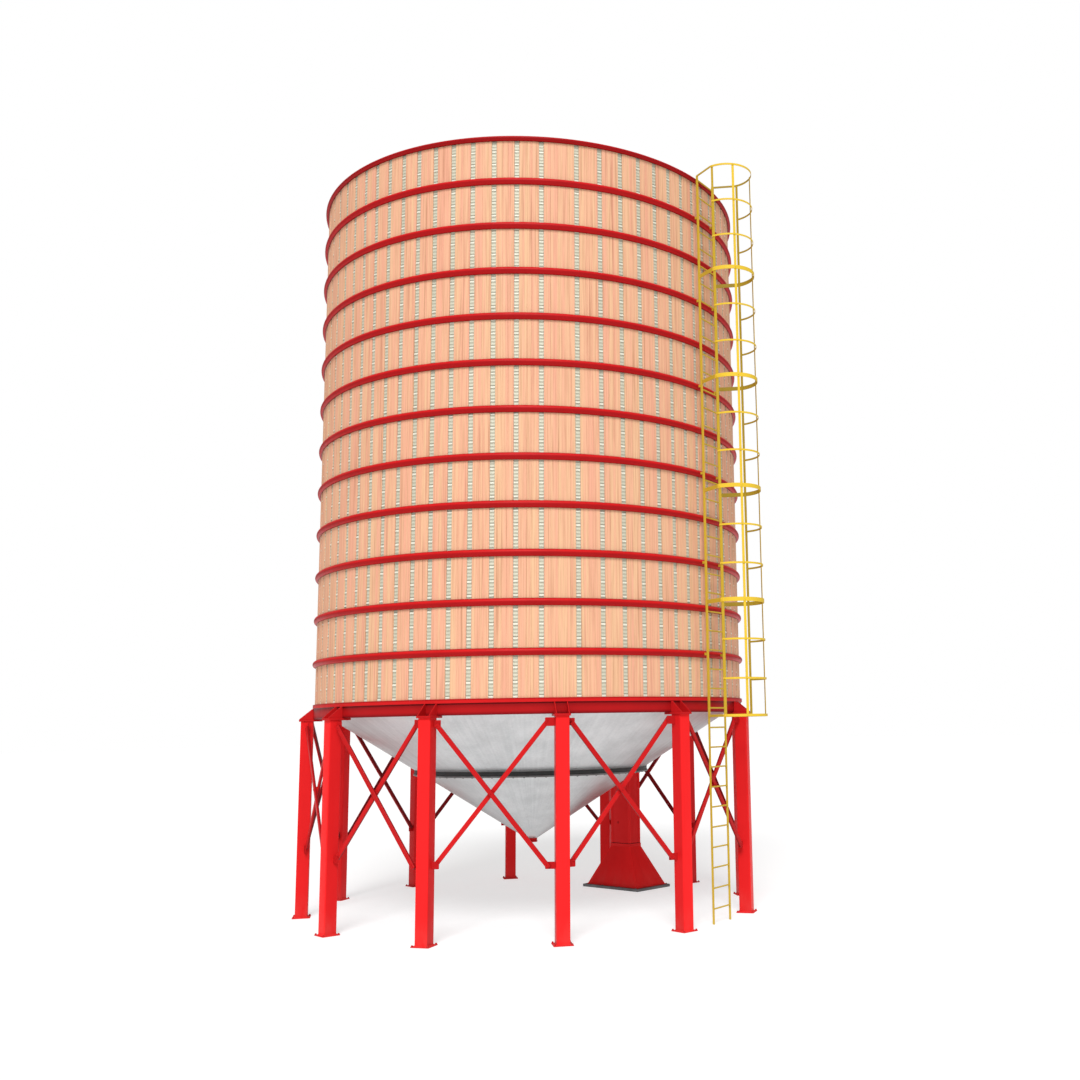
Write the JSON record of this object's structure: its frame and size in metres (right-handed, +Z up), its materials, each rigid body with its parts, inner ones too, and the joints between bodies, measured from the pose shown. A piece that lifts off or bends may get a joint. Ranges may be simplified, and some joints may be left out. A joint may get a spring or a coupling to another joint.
{
  "type": "wooden silo",
  "caption": "Round timber silo with red steel hoops on braced steel legs, with a conical hopper, a square duct with flared hood and a caged ladder",
  "frame": {"origin": "centre of the part's outline on the ground", "axes": "+Z up, +X from the tank towards the caged ladder, +Y towards the duct"},
  "size_m": [8.2892, 7.5202, 12.8923],
  "materials": {
    "timber": "oiled vertical boards",
    "red_steel": "satin red paint",
    "hopper_grey": "matt pale grey paint",
    "dark_collar": "matt dark paint",
    "grey_plate": "matt grey paint",
    "yellow_steel": "satin yellow paint",
    "roof_timber": "plain boards"
  },
  "bodies": {
    "root": {"wall_segment_01": "timber", "wall_segment_02": "timber", "wall_segment_03": "timber", "wall_segment_04": "timber", "wall_segment_05": "timber", "wall_segment_06": "timber", "hoop_01": "red_steel", "hoop_02": "red_steel", "hoop_03": "red_steel", "hoop_04": "red_steel", "hoop_05": "red_steel", "hoop_06": "red_steel", "hoop_07": "red_steel", "hoop_08": "red_steel", "hoop_09": "red_steel", "hoop_10": "red_steel", "hoop_11": "red_steel", "top_rim": "red_steel", "ring_beam": "red_steel", "leg_01": "red_steel", "leg_02": "red_steel", "leg_03": "red_steel", "leg_04": "red_steel", "leg_05": "red_steel", "leg_06": "red_steel", "leg_07": "red_steel", "leg_08": "red_steel", "leg_09": "red_steel", "leg_10": "red_steel", "leg_11": "red_steel", "leg_12": "red_steel", "bracing_01": "red_steel", "bracing_02": "red_steel", "bracing_03": "red_steel", "bracing_04": "red_steel", "bracing_05": "red_steel", "bracing_06": "red_steel", "bracing_07": "red_steel", "bracing_08": "red_steel", "bracing_09": "red_steel", "bracing_10": "red_steel", "bracing_11": "red_steel", "bracing_12": "red_steel", "hopper_upper": "hopper_grey", "hopper_lower": "hopper_grey", "hopper_collar": "dark_collar", "outlet_flange": "red_steel", "duct": "red_steel", "duct_hood": "red_steel", "duct_base_plate": "grey_plate", "ladder": "yellow_steel", "cage_front": "yellow_steel", "cage_side_near": "yellow_steel", "cage_side_far": "yellow_steel", "roof": "roof_timber"}
  },
  "joints": []
}
